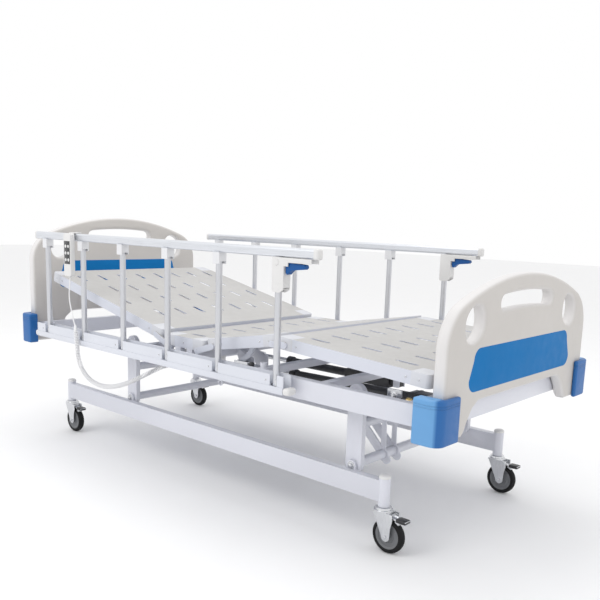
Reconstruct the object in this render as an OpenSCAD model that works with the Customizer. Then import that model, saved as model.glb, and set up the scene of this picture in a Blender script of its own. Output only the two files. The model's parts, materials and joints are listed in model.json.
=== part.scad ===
// Adjustable hospital bed on castors: electric back, knee and height movement, folding side rails.
// +X runs from head to foot, +Z up, -Y is the side with the handset. Origin: centre of the bed, on the floor.

/* [Overall] */
// Distance between the outer faces of the head board and foot board
bed_l = 2170; // [1900:10:2400]
// Distance between the centre planes of the two side rails
rail_span = 968; // [900:2:1100]
// Height of the top of the bed frame with the legs upright
frame_top = 494; // [440:2:620]

/* [Base and castors] */
// Distance between the castor stems along the bed
base_l = 1750; // [1500:10:1900]
// Distance between the castor stems across the bed
base_w = 730; // [640:2:800]
// How far the base sits towards the head from the centre of the bed
base_shift = 30; // [0:5:80]
// Castor wheel diameter
wheel_d = 110; // [90:1:130]
// Width of the castor tread
wheel_w = 28; // [20:1:34]
// Distance from the swivel axis to the wheel axis
trail = 24; // [10:1:40]
// Height of the base rail
base_rail_h = 66; // [40:1:90]
// Thickness of the base rail across the bed
base_rail_t = 30; // [20:1:40]
// Radius of the corner post that holds each castor
post_r = 18; // [15:0.5:26]

/* [Lifting legs] */
// Distance between the pivots of a leg
leg_len = 230; // [180:5:300]
// Width of a leg bar
leg_w = 60; // [40:1:80]
// Thickness of a leg bar across the bed
leg_t = 19; // [10:1:24]
// Distance along the bed between the head legs and the foot legs
leg_pitch = 1175; // [1000:5:1300]
// Place of the foot legs along the bed
foot_leg_x = 705; // [600:5:760]

/* [Frame] */
// Height of the long frame beams
beam_h = 63; // [50:1:80]
// Thickness of the long frame beams
beam_t = 30; // [20:1:40]
// Distance between the outer faces of the long beams
frame_w = 879; // [820:1:900]
// Wall thickness of the frame tubes
tube_wall = 2.5; // [1.5:0.5:5]

/* [Mattress platform] */
// Width of the platform
deck_w = 860; // [780:2:880]
// Depth of the folded edge of each section
skirt = 40; // [30:1:44]
// Sheet thickness
sheet = 2.5; // [1.5:0.5:4]
// Length of the back section
back_l = 790; // [700:5:820]
// Length of the seat section
seat_l = 225; // [200:5:300]
// Length of the thigh section
thigh_l = 345; // [280:5:380]
// Length of the leg section
calf_l = 570; // [480:5:590]
// Angle of the back section as the bed stands
back_angle = 12; // [0:1:30]
// Angle of the thigh section as the bed stands
thigh_angle = 10; // [0:1:20]
// Leg section turn for each degree of thigh turn
knee_ratio = 1.35; // [1.2:0.05:1.5]
// Length of a ventilation slot
slot_l = 78; // [40:1:90]
// Width of a ventilation slot
slot_w = 16; // [8:0.5:20]

/* [Head and foot boards] */
// Width of a board
board_w = 924; // [860:2:940]
// Thickness of a board
board_t = 42; // [30:1:50]
// Height of the top of the head board
head_top = 967; // [900:1:1100]
// Height of the top of the foot board
foot_top = 852; // [800:1:960]
// Radius of the board's upper corners
shoulder_r = 115; // [80:5:150]
// Length of a corner bumper along the bed
bumper_l = 88; // [70:1:110]
// Height of a corner bumper
bumper_h = 128; // [100:1:150]

/* [Side rails] */
// Height of the top of the hand rail
rail_top = 901; // [860:1:960]
// Height of the hand rail section
rail_h = 30; // [24:1:36]
// Width of the hand rail section
rail_w = 26; // [20:1:30]
// Length of the hand rail
rail_l = 1600; // [1400:10:1700]
// Distance between the rail posts
post_pitch = 273; // [220:1:290]
// Radius of a rail post
rail_post_r = 11; // [8:0.5:12]
// Radius of the post pivot pins
pin_r = 4; // [3:0.5:5]

/* [Handset] */
// Handset width
handset_w = 50; // [40:1:60]
// Handset thickness
handset_t = 20; // [16:1:24]
// Handset length
handset_l = 172; // [140:1:200]
// Radius of a handset button
button_r = 6.5; // [4:0.5:8]

/* [Fits] */
// Radial clearance of a turning or sliding fit
run = 0.05; // [0.02:0.01:0.1]
// Side gap between parts that pass each other
gap = 1; // [0.5:0.1:3]
// Fit-up gap that a weld closes between the frame's tubes
weld = 0.1; // [0.05:0.05:0.3]

/* [Hidden] */

$fn = 48;

// Colours
paint = [0.93, 0.94, 0.96];
warm_plastic = [0.82, 0.80, 0.78];
panel_blue = [0.19, 0.46, 0.71];
bumper_blue = [0.30, 0.58, 0.82];
lever_blue = [0.07, 0.36, 0.63];
black_plastic = [0.05, 0.05, 0.06];
bright = [0.80, 0.81, 0.83];
tyre_black = [0.09, 0.09, 0.10];
white_plastic = [0.95, 0.95, 0.95];

// Base
base_z = wheel_d + 46;                       // underside of the base rail
base_top = base_z + base_rail_h;
stem_x = [-base_l / 2 - base_shift, base_l / 2 - base_shift];
stem_y = base_w / 2;
fork_top = base_z - 15.5;                    // the fork's upper race, just below the post
post_foot = base_z - 15;
stem_r = 10;
axle_z = wheel_d / 2;
axle_r = 5;
plate_in = wheel_w / 2 + 3;                  // inner face of a fork plate
plate_t = 3;
pedal_x = trail + 6;
pedal_z = wheel_d + 7;
pedal_pin_r = 3;

// Legs
leg_x = [foot_leg_x - leg_pitch, foot_leg_x];
beam_z = frame_top - beam_h;
top_pivot_z = frame_top - 32;
low_pivot_z = top_pivot_z - leg_len;
leg_y = base_w / 2 - base_rail_t / 2 - 6;    // outer face of a leg
tie_r = 16;                                  // cross tubes between the legs
leg_pin_r = 8;
arm_y = [-182, -122];                        // the two lifting arms
arm_t = 6;
arm_tip = [foot_leg_x - 145, low_pivot_z + 140];

// Frame
beam_y = frame_w / 2;                        // outer face of a beam
beam_in = beam_y - beam_t;
frame_end = bed_l / 2 - board_t;             // outer face of the end beams
cross_z = frame_top - 24;
cross_x = [-260, -5, 350, 630, 960];
end_beam = 34;
socket_x = [foot_leg_x - 300, -foot_leg_x - 220];
socket_out = 11;                             // from the beam to the socket's centre
socket_h = beam_h + 24;
pole_r = 8.5;

// Platform
deck_top = frame_top + 58;
deck_bottom = deck_top - skirt;
seat_x = [-140, -140 + seat_l];
back_x = [-165 - back_l, -165];
thigh_x = [seat_x[1] + 20, seat_x[1] + 20 + thigh_l];
calf_x = [thigh_x[1] + 5, thigh_x[1] + 5 + calf_l];
back_pivot = [-105, frame_top + 12];
thigh_pivot = [seat_x[1] - 35, deck_bottom];
knee_pivot = [thigh_x[1] - 20, deck_bottom + 10];
knee_angle = thigh_angle * knee_ratio;
ear_t = 5;
ear_y = deck_w / 2 + gap;
deck_pin_r = 6;
back_lever = 85;
knee_lever = 75;
lever_t = 10;
bar_r = 9;                                   // torsion bars under the back and thigh sections

// Boards
board_foot_z = beam_z - 25;
bumper_y = rail_span / 2 + 19;
bumper_z = beam_z - 26;
panel_h = 118;
panel_t = 3;

// Side rails
rail_y = rail_span / 2;
post_x = [for (i = [0:5]) foot_leg_x - 210 - (5 - i) * post_pitch];
post_pin_z = frame_top - 18;
collar_pin_z = rail_top - rail_h - 19;
rail_x = [post_x[5] + 157 - rail_l, post_x[5] + 157];
ch_back = rail_y - rail_post_r - 6.5;        // inner face of the channel's back wall
ch_z = frame_top - 45;
ch_top = frame_top + 14;
ch_front = rail_y + rail_post_r + 2.5;
cheek_t = 3.5;

// Actuators
back_act_z = frame_top - 61;
back_rest = 40 - back_angle;                 // lever angle ahead of straight down
back_tip = [back_pivot[0] + back_lever * sin(back_rest), back_pivot[1] - back_lever * cos(back_rest)];
knee_act_y = -215;
knee_rest = 20 - thigh_angle;
knee_tip = [thigh_pivot[0] - knee_lever * sin(knee_rest), thigh_pivot[1] - knee_lever * cos(knee_rest)];
knee_tilt = 1;
lift_y = (arm_y[0] + arm_y[1]) / 2;
lift_pivot = [80, arm_tip[1] + 3];
lift_tilt = atan((arm_tip[1] - lift_pivot[1]) / (arm_tip[0] - lift_pivot[0]));
lift_len = norm(arm_tip - lift_pivot);
rod_r = 9;
act_pin_r = 5;
eye = 12;                                    // from an actuator's rear pin to its end
back_total = cross_x[3] + eye - back_tip[0];
knee_total = (cross_x[4] - 24 - knee_tip[0]) / cos(knee_tilt);
knee_end = knee_tip + (knee_total - eye) * [cos(knee_tilt), sin(knee_tilt)];

// Handset
hs_x = -650;
hs_back = rail_y + rail_w / 2 + 7.5;         // back face of the handset, from the centre plane
hs_top = rail_top + 1;

// Cord: chosen points, from the handset down to the coil, then along the curly cord to the control box
cord_d = 5;
coil_d = 19;
lead_pts = [[-650, -514, 733], [-650, -514, 715], [-652, -515, 690], [-654, -516, 665], [-652, -517, 635],
            [-644, -517, 605], [-634, -517, 575], [-624, -517, 550], [-615, -517, 530], [-612, -517, 520]];
coil_pts = [[-612, -517, 520], [-609, -517, 500], [-606, -517, 475], [-603, -517, 450], [-600, -517, 425],
            [-592, -517, 395], [-576, -516, 365], [-550, -515, 340], [-515, -514, 322], [-475, -511, 312],
            [-435, -508, 309], [-395, -503, 312], [-355, -496, 321], [-318, -486, 334], [-285, -473, 350],
            [-258, -455, 367], [-238, -434, 382], [-224, -410, 395], [-214, -385, 405], [-207, -355, 411],
            [-203, -325, 414], [-202, -300, 415]];
box_x = [-320, -140];
box_y = [-300, -120];
box_z = [frame_top - 107, frame_top - 52];

// ---------- helpers ----------
module mirrored_y() { for (s = [-1, 1]) scale([1, s, 1]) children(); }

// cylinder along Y from y0 to y1 about a point in the XZ plane
module y_rod(p, r, y0, y1) { translate([p[0], y0, p[1]]) rotate([-90, 0, 0]) cylinder(r = r, h = y1 - y0); }

// box from its two corners
module box(a, b) { translate(a) cube(b - a); }

// plate lying in the XZ plane, from y0 to y1
module xz_plate(pts, y0, y1) { translate([0, y1, 0]) rotate([90, 0, 0]) linear_extrude(y1 - y0) polygon(pts); }

// open-ended tube along X
module x_tube(x0, x1, y0, y1, z0, z1, w) {
    difference() {
        box([x0, y0, z0], [x1, y1, z1]);
        box([x0 - 1, y0 + w, z0 + w], [x1 + 1, y1 - w, z1 - w]);
    }
}

// open-ended tube along Y
module y_tube(x0, x1, y0, y1, z0, z1, w) {
    difference() {
        box([x0, y0, z0], [x1, y1, z1]);
        box([x0 + w, y0 - 1, z0 + w], [x1 - w, y1 + 1, z1 - w]);
    }
}

// bar in the XZ plane with round ends
module link(a, b, r, y0, y1) {
    ang = atan2(b[1] - a[1], b[0] - a[0]);
    xz_plate(concat(arc(b[0], b[1], r, ang - 90, ang + 90, 12), arc(a[0], a[1], r, ang + 90, ang + 270, 12)), y0, y1);
}

function arc(cx, cy, r, a0, a1, n) = [for (i = [0:n]) let (a = a0 + (a1 - a0) * i / n) [cx + r * cos(a), cy + r * sin(a)]];

// tube swept along a smooth curve through the route's points
function catmull(p, i, t) = let (
    a = p[max(i - 1, 0)], b = p[i], c = p[i + 1], d = p[min(i + 2, len(p) - 1)])
    0.5 * (2 * b + (c - a) * t + (2 * a - 5 * b + 4 * c - d) * t * t + (3 * b - a - 3 * c + d) * t * t * t);
function smooth_route(p, n) = concat([for (i = [0:len(p) - 2]) for (k = [0:n - 1]) catmull(p, i, k / n)], [p[len(p) - 1]]);
function unit(v) = v / norm(v);
function tangent(q, i) = unit(q[min(i + 1, len(q) - 1)] - q[max(i - 1, 0)]);
module sweep(route, r, sides) {
    n = len(route);
    pts = [for (i = [0:n - 1]) let (t = tangent(route, i), u = unit(cross(t, [0.3, 1, 0.1])), v = cross(t, u))
        for (k = [0:sides - 1]) route[i] + r * (cos(360 * k / sides) * u + sin(360 * k / sides) * v)];
    faces = concat(
        [[for (k = [0:sides - 1]) k]],
        [for (i = [0:n - 2]) for (k = [0:sides - 1]) let (k2 = (k + 1) % sides)
            [i * sides + k, (i + 1) * sides + k, (i + 1) * sides + k2, i * sides + k2]],
        [[for (k = [sides - 1:-1:0]) (n - 1) * sides + k]]);
    polyhedron(pts, faces);
}

// ---------- base ----------
module base_frame() color(paint) {
    difference() {
        union() {
            for (s = [-1, 1]) {
                x_tube(stem_x[0], stem_x[1], s * stem_y - base_rail_t / 2, s * stem_y + base_rail_t / 2,
                       base_z, base_top, tube_wall);
                for (x = stem_x) {
                    translate([x, s * stem_y, post_foot]) cylinder(r = post_r, h = base_top + 10 - post_foot);
                    translate([x, s * stem_y, base_top + 10]) cylinder(r1 = post_r, r2 = post_r - 4, h = 6);
                }
                // bosses that carry the ends of the pivot tubes
                for (x = leg_x) {
                    y0 = s > 0 ? leg_y + gap : -leg_y - gap - 9;
                    y_rod([x, low_pivot_z], tie_r + 1, y0, y0 + 9);
                    if (low_pivot_z > base_top)
                        box([x - tie_r - 1, y0, base_top - 12], [x + tie_r + 1, y0 + 9, low_pivot_z]);
                }
            }
            for (x = leg_x)
                difference() {
                    y_rod([x, low_pivot_z], tie_r, -leg_y - gap - 2, leg_y + gap + 2);
                    y_rod([x, low_pivot_z], tie_r - 3, -leg_y - gap, leg_y + gap);
                }
        }
        for (s = [-1, 1], x = stem_x)
            translate([x, s * stem_y, post_foot - 1]) cylinder(r = stem_r + run, h = 62);
    }
}

// ---------- castors: 1 near head, 2 far head, 3 near foot, 4 far foot ----------
function castor_at(i) = [stem_x[i < 3 ? 0 : 1], (i % 2 == 1 ? -1 : 1) * stem_y, 0];

module castor_fork() color(bright) {
    translate([0, 0, fork_top - 8]) cylinder(r = 25, h = 8);
    translate([0, 0, fork_top - 13]) cylinder(r = 29, h = 6);
    translate([0, 0, fork_top - 1]) cylinder(r = stem_r, h = 57);
    // crown between the two plates
    box([-26, -plate_in - plate_t, fork_top - 17], [30, plate_in + plate_t, fork_top - 12]);
    for (s = [-1, 1]) {
        y0 = s > 0 ? plate_in : -plate_in - plate_t;
        xz_plate(concat([[-26, fork_top - 12]], arc(trail, axle_z, 15, 180, 360, 10),
                        [[trail + 17, axle_z + 30], [trail + 22, pedal_z - 12], [trail + 22, fork_top - 12]]),
                 y0, y0 + plate_t);
    }
    y_rod([trail, axle_z], axle_r, -plate_in - plate_t - 5, plate_in + plate_t + 5);
    y_rod([pedal_x, pedal_z], pedal_pin_r, -plate_in - 1, plate_in + 1);
}

module castor_wheel() translate([trail, 0, axle_z]) rotate([-90, 0, 0]) {
    color(tyre_black) rotate_extrude()
        polygon(concat([[wheel_d / 2 - 14, -wheel_w / 2 + 3], [wheel_d / 2 - 8, -wheel_w / 2]],
                       arc(wheel_d / 2 - wheel_w * 0.3, 0, wheel_w * 0.3, -70, 70, 10),
                       [[wheel_d / 2 - 8, wheel_w / 2], [wheel_d / 2 - 14, wheel_w / 2 - 3]]));
    color([0.55, 0.56, 0.58]) difference() {
        union() {
            translate([0, 0, -wheel_w / 2 + 4]) cylinder(r = wheel_d / 2 - 13, h = wheel_w - 8);
            translate([0, 0, -plate_in + gap]) cylinder(r = 13, h = 2 * (plate_in - gap));
        }
        translate([0, 0, -plate_in]) cylinder(r = axle_r + run, h = 2 * plate_in);
    }
}

module brake_pedal() difference() {
    union() {
        color(bright) y_rod([pedal_x, pedal_z], 5.5, -plate_in + gap, plate_in - gap);
        color(bright) xz_plate([[pedal_x, pedal_z + 2], [pedal_x, pedal_z - 3], [pedal_x + 42, pedal_z - 5],
                                [pedal_x + 60, pedal_z - 2], [pedal_x + 60, pedal_z + 1],
                                [pedal_x + 42, pedal_z - 1]], -14, 14);
        color(black_plastic) xz_plate([[pedal_x + 12, pedal_z - 3], [pedal_x + 19, pedal_z - 10],
                                       [pedal_x + 34, pedal_z - 18], [pedal_x + 38, pedal_z - 4]], -11, 11);
    }
    y_rod([pedal_x, pedal_z], pedal_pin_r + run, -40, 40);
}

// ---------- lifting legs ----------
module leg_bars(x) {
    for (s = [-1, 1]) {
        y0 = s > 0 ? leg_y - leg_t : -leg_y;
        difference() {
            link([x, low_pivot_z], [x, top_pivot_z], leg_w / 2, y0, y0 + leg_t);
            y_rod([x, low_pivot_z], tie_r + run, y0 - 1, y0 + leg_t + 1);
            y_rod([x, top_pivot_z], leg_pin_r + run, y0 - 1, y0 + leg_t + 1);
        }
    }
    // upper tie tube
    difference() {
        y_rod([x, top_pivot_z - 102], tie_r, -leg_y + leg_t - 1, leg_y - leg_t + 1);
        y_rod([x, top_pivot_z - 102], tie_r - 3, -leg_y + leg_t, leg_y - leg_t);
    }
}

module head_legs() color(paint) leg_bars(leg_x[0]);

module foot_legs() color(paint) {
    leg_bars(leg_x[1]);
    for (y = arm_y)
        difference() {
            union() {
                link([foot_leg_x + 14, low_pivot_z - 16], arm_tip, 16, y - arm_t / 2, y + arm_t / 2);
                y_rod([foot_leg_x, low_pivot_z], tie_r + 8, y - arm_t / 2 - 1, y + arm_t / 2 + 1);
                // web up to the tie tube
                xz_plate([[foot_leg_x - 10, low_pivot_z + 12], [foot_leg_x + 10, low_pivot_z + 12],
                          [foot_leg_x + 8, top_pivot_z - 108], [foot_leg_x - 8, top_pivot_z - 108]],
                         y - arm_t / 2 + 1, y + arm_t / 2 - 1);
            }
            y_rod([foot_leg_x, low_pivot_z], tie_r + run, y - arm_t, y + arm_t);
        }
}

// ---------- frame ----------
// drip-pole socket on the outside of a beam
module pole_socket(x, s) {
    translate([x, s * (beam_y + socket_out), beam_z + 8])
        difference() {
            cylinder(r = socket_out - weld, h = socket_h);
            translate([0, 0, 6]) cylinder(r = pole_r, h = socket_h);
        }
}

module main_frame() color(paint) {
    for (s = [-1, 1]) {
        y0 = s > 0 ? beam_in : -beam_y;
        difference() {
            box([-frame_end, y0, beam_z], [frame_end, y0 + beam_t, frame_top]);
            box([-frame_end - 1, y0 + tube_wall, beam_z + tube_wall],
                [frame_end + 1, y0 + beam_t - tube_wall, frame_top - tube_wall]);
        }
        // leg pivots
        for (x = leg_x) {
            y_rod([x, top_pivot_z], 15, s > 0 ? leg_y + gap : -beam_in, s > 0 ? beam_in : -leg_y - gap);
            y_rod([x, top_pivot_z], leg_pin_r, s > 0 ? leg_y - leg_t - 6 : -leg_y - gap,
                  s > 0 ? leg_y + gap : -leg_y + leg_t + 6);
            y_rod([x, top_pivot_z], 13, s > 0 ? leg_y - leg_t - 8 : -leg_y + leg_t + gap,
                  s > 0 ? leg_y - leg_t - gap : -leg_y + leg_t + 8);
        }
        // seat rests
        for (x = [seat_x[0] + 80, seat_x[1] - 80])
            box([x - 15, s > 0 ? deck_w / 2 - 20 : -deck_w / 2, frame_top - 1],
                [x + 15, s > 0 ? deck_w / 2 : -deck_w / 2 + 20, deck_bottom]);
        for (x = socket_x) pole_socket(x, s);
    }
    // end beams
    for (s = [-1, 1])
        y_tube(s > 0 ? frame_end - end_beam : -frame_end, s > 0 ? frame_end : -frame_end + end_beam,
               weld - beam_in, beam_in - weld, beam_z, frame_top, tube_wall);
    for (x = cross_x)
        y_tube(x - 14, x + 14, weld - beam_in, beam_in - weld, cross_z, frame_top, tube_wall);
    // actuator brackets
    for (s = [-1, 1]) {
        box([cross_x[3] - 12, s * 16 - 3, back_act_z - 14], [cross_x[3] + 12, s * 16 + 3, cross_z + 1]);
        box([knee_end[0] - 12, knee_act_y + s * 16 - 3, knee_end[1] - 14],
            [cross_x[4] + 12, knee_act_y + s * 16 + 3, cross_z + 1]);
    }
    y_rod([cross_x[3], back_act_z], act_pin_r, -18, 18);
    y_rod(knee_end, act_pin_r, knee_act_y - 18, knee_act_y + 18);
    // lift actuator hanger
    for (s = [-1, 1])
        xz_plate([[lift_pivot[0] - 14, lift_pivot[1] - 14], [lift_pivot[0] + 14, lift_pivot[1] - 14],
                  [lift_pivot[0] + 14, cross_z - 6], [cross_x[1] + 14, frame_top - 4], [cross_x[1] + 8, cross_z]],
                 lift_y + s * 39 - 3, lift_y + s * 39 + 3);
    y_rod(lift_pivot, 6, lift_y - 42, lift_y + 42);
    // control box hangers
    for (x = [box_x[0] + 20, box_x[1] - 20])
        box([x - 10, box_y[0] + 30, box_z[1]], [x + 10, box_y[0] + 33, cross_z]);
    box([cross_x[0] - 60, box_y[0] + 20, cross_z], [cross_x[0] + 110, box_y[0] + 60, cross_z + 4]);
}

// ---------- boards ----------
// outline of a board, looking along X, with its top at z = 0
function board_outline(h) = let (
    hw = board_w / 2,
    rise = 62,
    flat = hw - shoulder_r,
    R = (flat * flat + rise * rise) / (2 * rise),
    half = asin(flat / R))
    concat(
        [[-hw + 12, -h], [-hw, -h + 12]],
        arc(-hw + shoulder_r, -rise - shoulder_r, shoulder_r, 180, 90 + half, 10),
        arc(0, -R, R, 90 + half, 90 - half, 24),
        arc(hw - shoulder_r, -rise - shoulder_r, shoulder_r, 90 - half, 0, 10),
        [[hw, -h + 12], [hw - 12, -h], [hw - 112, -h], [hw - 122, -h + 12], [hw - 150, -h + 52], [hw - 190, -h + 92],
         [-hw + 190, -h + 92], [-hw + 150, -h + 52], [-hw + 122, -h + 12], [-hw + 112, -h]]);

module oval(cy, cz, w, h) {
    r = w / 2;
    translate([cy, cz + h / 2 - r]) circle(r = r);
    translate([cy, cz - h / 2 + r]) circle(r = r);
    translate([cy - r, cz - h / 2 + r]) square([w, h - w]);
}

module board_2d(h) difference() {
    polygon(board_outline(h));
    // handle slot
    translate([0, -76]) {
        translate([-170, -22]) square([340, 44]);
        for (s = [-1, 1]) translate([s * 170, 0]) circle(r = 22);
    }
    for (s = [-1, 1]) oval(s * 318, -128, 108, 116);
}

// s = -1 head, 1 foot
module board(s, top) color(warm_plastic)
    difference() {
        translate([s > 0 ? frame_end : -bed_l / 2, 0, top])
            rotate([90, 0, 90]) linear_extrude(board_t) board_2d(top - board_foot_z);
        panel_solid(s, top, 0.3);
    }

function panel_mid(top) = top - 262;

// blue insert on the outer face of the foot board and the inner face of the head board
module panel_solid(s, top, extra) {
    x0 = s > 0 ? bed_l / 2 - panel_t : -frame_end - panel_t;
    translate([x0, 0, panel_mid(top)])
        rotate([90, 0, 90]) linear_extrude(panel_t + extra * 4) {
            square([640 + 2 * extra, panel_h - 60 + 2 * extra], center = true);
            square([580 + 2 * extra, panel_h + 2 * extra], center = true);
            for (a = [-1, 1], b = [-1, 1])
                translate([a * 290, b * (panel_h / 2 - 30)]) circle(r = 30 + extra);
        }
}

module headboard() board(-1, head_top);
module footboard() board(1, foot_top);

module board_panels() color(panel_blue) {
    panel_solid(-1, head_top, 0);
    panel_solid(1, foot_top, 0);
}

module bumper_2d() {
    // plan of one corner: outer corner at the origin, body towards -x and -y
    r = 34;
    difference() {
        union() {
            translate([-r, -r]) circle(r = r);
            translate([-bumper_l, -r]) square([bumper_l - r, r]);
            translate([-bumper_l, -105]) square([bumper_l, 105 - r]);
        }
        // board corner and the space behind it
        translate([-bumper_l - 1, -106]) square([bumper_l - 14, 106 + board_w / 2 - bumper_y + 0.5]);
    }
}

module corner_bumpers() color(bumper_blue)
    for (sx = [-1, 1], sy = [-1, 1])
        translate([0, 0, bumper_z]) linear_extrude(bumper_h)
            scale([sx, sy]) translate([bed_l / 2 + 15, bumper_y]) bumper_2d();

// ---------- side rails ----------
module rail_channel(s) {
    // drawn for +Y, mirrored for the near side
    scale([1, s, 1]) {
        x0 = rail_x[0];
        x1 = post_x[5] + 45;
        difference() {
            union() {
                box([x0, ch_back - 4, ch_z], [x1, ch_back, ch_top]);
                box([x0, ch_back - 4, ch_z], [x1, ch_front + 3, ch_z + 4]);
                box([x0, ch_front, ch_z], [x1, ch_front + 6, ch_z + 22]);
                box([x0, ch_front, ch_z + 22], [x1, ch_front + 3, ch_top - 1]);
            }
            for (x = post_x)
                box([x - 18, ch_front - 1, ch_z + 22], [x + 18, ch_front + 10, ch_top + 1]);
        }
        for (x = post_x) {
            box([x - 20, beam_y, ch_z + 4], [x + 20, ch_back - 4 - weld, ch_top - 16]);
            y_rod([x, post_pin_z], pin_r, ch_back - 1, rail_y + rail_post_r - 1);
        }
    }
}

module rail_channels() color(paint) for (s = [-1, 1]) rail_channel(s);

module rail_post(x, s) color([0.90, 0.91, 0.94]) {
    r = rail_post_r;
    difference() {
        union() {
            translate([x, s * rail_y, post_pin_z]) cylinder(r = r, h = collar_pin_z - post_pin_z);
            for (z = [post_pin_z, collar_pin_z]) intersection() {
                y_rod([x, z], r, s * rail_y - r, s * rail_y + r);
                translate([x, s * rail_y, z - r]) cylinder(r = r, h = 2 * r);
            }
        }
        translate([x, s * rail_y, post_pin_z + 14]) cylinder(r = r - 1.8, h = collar_pin_z - post_pin_z - 28);
        for (z = [post_pin_z, collar_pin_z]) y_rod([x, z], pin_r + run, s * rail_y - 2 * r, s * rail_y + 2 * r);
    }
}

module rail_section() {
    // rounded section, width along X and height along Y
    r = 8;
    square([rail_w - 2 * r, rail_h], center = true);
    square([rail_w, rail_h - 2 * r], center = true);
    for (a = [-1, 1], b = [-1, 1]) translate([a * (rail_w / 2 - r), b * (rail_h / 2 - r)]) circle(r = r);
}

module handrail(s) color([0.86, 0.88, 0.91]) {
    translate([rail_x[0], s * rail_y, rail_top - rail_h / 2]) rotate([90, 0, 90]) difference() {
        linear_extrude(rail_l) rail_section();
        translate([-rail_w / 2 + 5, -rail_h / 2 + 5, 6]) cube([rail_w - 10, rail_h - 10, rail_l - 12]);
    }
    // collars: two cheeks and a foot-side web, open towards the head so the post can fold
    for (i = [0:4]) {
        x = post_x[i];
        for (b = [-1, 1])
            box([x - 15, s * rail_y + b * (rail_post_r + 1.5 + cheek_t / 2) - cheek_t / 2, collar_pin_z - 18],
                [x + 17, s * rail_y + b * (rail_post_r + 1.5 + cheek_t / 2) + cheek_t / 2, rail_top - rail_h + 3]);
        box([x + 14, s * rail_y - rail_post_r - 1.5, collar_pin_z - 10],
            [x + 17, s * rail_y + rail_post_r + 1.5, rail_top - rail_h + 2]);
        y_rod([x, collar_pin_z], pin_r, s * rail_y - rail_post_r - 2, s * rail_y + rail_post_r + 2);
    }
}

module latch_housing(s) color(paint) {
    x = post_x[5];
    zt = rail_top - rail_h;
    for (b = [-1, 1]) {
        yc = s * rail_y + b * (rail_post_r + 1.5 + cheek_t / 2);
        xz_plate([[x - 15, zt], [x - 15, zt - 100], [x - 12, zt - 106], [x + 14, zt - 108], [x + 30, zt - 100],
                  [x + 33, zt - 92], [x + 33, zt - 26], [x + 50, zt - 26], [x + 50, zt - 10], [x + 118, zt - 5],
                  [x + 118, zt]],
                 yc - cheek_t / 2, yc + cheek_t / 2);
    }
    box([x + 29, s * rail_y - rail_post_r - 1.5, zt - 92], [x + 33, s * rail_y + rail_post_r + 1.5, zt]);
    box([x + 32, s * rail_y - rail_post_r - 1.5, zt - 4], [x + 118, s * rail_y + rail_post_r + 1.5, zt]);
    y_rod([x, collar_pin_z], pin_r, s * rail_y - rail_post_r - 2, s * rail_y + rail_post_r + 2);
    y_rod([x + 42, zt - 18], 3, s * rail_y - rail_post_r - 2, s * rail_y + rail_post_r + 2);
}

module release_lever(s) color(lever_blue) {
    x = post_x[5];
    zt = rail_top - rail_h;
    difference() {
        xz_plate([[x + 37, zt - 13], [x + 36, zt - 26], [x + 37, zt - 48], [x + 43, zt - 51], [x + 50, zt - 44],
                  [x + 60, zt - 37], [x + 108, zt - 32], [x + 113, zt - 27], [x + 112, zt - 20], [x + 108, zt - 18],
                  [x + 52, zt - 14.5]],
                 s * rail_y - 10, s * rail_y + 10);
        y_rod([x + 42, zt - 18], 3 + run, s * rail_y - 20, s * rail_y + 20);
    }
}

// ---------- mattress platform ----------
// staggered rows of slots across a section
module slots(x0, rows, pitch) {
    for (i = [0:rows - 1]) {
        odd = i % 2;
        n = 8 - odd;
        for (k = [0:n - 1]) {
            y = (k - (n - 1) / 2) * 102;
            translate([x0 + i * pitch, y, deck_top - 10]) {
                translate([-slot_l / 2 + slot_w / 2, -slot_w / 2, 0]) cube([slot_l - slot_w, slot_w, 20]);
                for (e = [-1, 1]) translate([e * (slot_l - slot_w) / 2, 0, 0]) cylinder(r = slot_w / 2, h = 20, $fn = 20);
            }
        }
    }
}

// folded sheet-metal tray with moulded corner caps
module tray(x0, x1) {
    w = deck_w / 2;
    r = 14;
    difference() {
        union() {
            box([x0 + r, -w, deck_bottom], [x1 - r, w, deck_top]);
            box([x0, -w + r, deck_bottom], [x1, w - r, deck_top]);
            for (x = [x0 + r, x1 - r], y = [-w + r, w - r]) translate([x, y, deck_bottom]) cylinder(r = r, h = skirt);
        }
        box([x0 + sheet, -w + 30, deck_bottom - 1], [x1 - sheet, w - 30, deck_top - sheet]);
        box([x0 + 30, -w + sheet, deck_bottom - 1], [x1 - 30, w - sheet, deck_top - sheet]);
    }
}

module seat_section() color(paint) {
    difference() {
        tray(seat_x[0], seat_x[1]);
        slots((seat_x[0] + seat_x[1]) / 2, 1, 100);
    }
    // hinge pins with brackets below the side skirts
    for (s = [-1, 1], p = [back_pivot, thigh_pivot]) {
        y0 = s > 0 ? deck_w / 2 - 8 : -deck_w / 2;
        xz_plate([[p[0] - 14, deck_bottom + 8], [p[0] - 9, p[1] - 7], [p[0] + 9, p[1] - 7], [p[0] + 14, deck_bottom + 8]],
                 y0, y0 + 8);
        y_rod(p, deck_pin_r, s > 0 ? deck_w / 2 - 8 : -ear_y - ear_t - 1, s > 0 ? ear_y + ear_t + 1 : -deck_w / 2 + 8);
    }
}

// ear that reaches past the next section's end to its hinge pin, on both sides
module ears(inner, p) {
    for (s = [-1, 1]) {
        y0 = s > 0 ? ear_y : -ear_y - ear_t;
        difference() {
            union() {
                link(inner, p, 11, y0, y0 + ear_t);
                // lug that joins the ear to the skirt
                y_rod(inner, 10, s > 0 ? deck_w / 2 - 2 : -ear_y - 0.5, s > 0 ? ear_y + 0.5 : -deck_w / 2 + 2);
            }
            y_rod(p, deck_pin_r + run, y0 - 1, y0 + ear_t + 1);
        }
    }
}

// cranked lever from the torsion bar to the rod's fork
module crank(a, b, c, y) {
    link(a, b, 10, y - lever_t / 2, y + lever_t / 2);
    link(b, c, 9.5, y - lever_t / 2 + 0.5, y + lever_t / 2 - 0.5);
}

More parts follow.
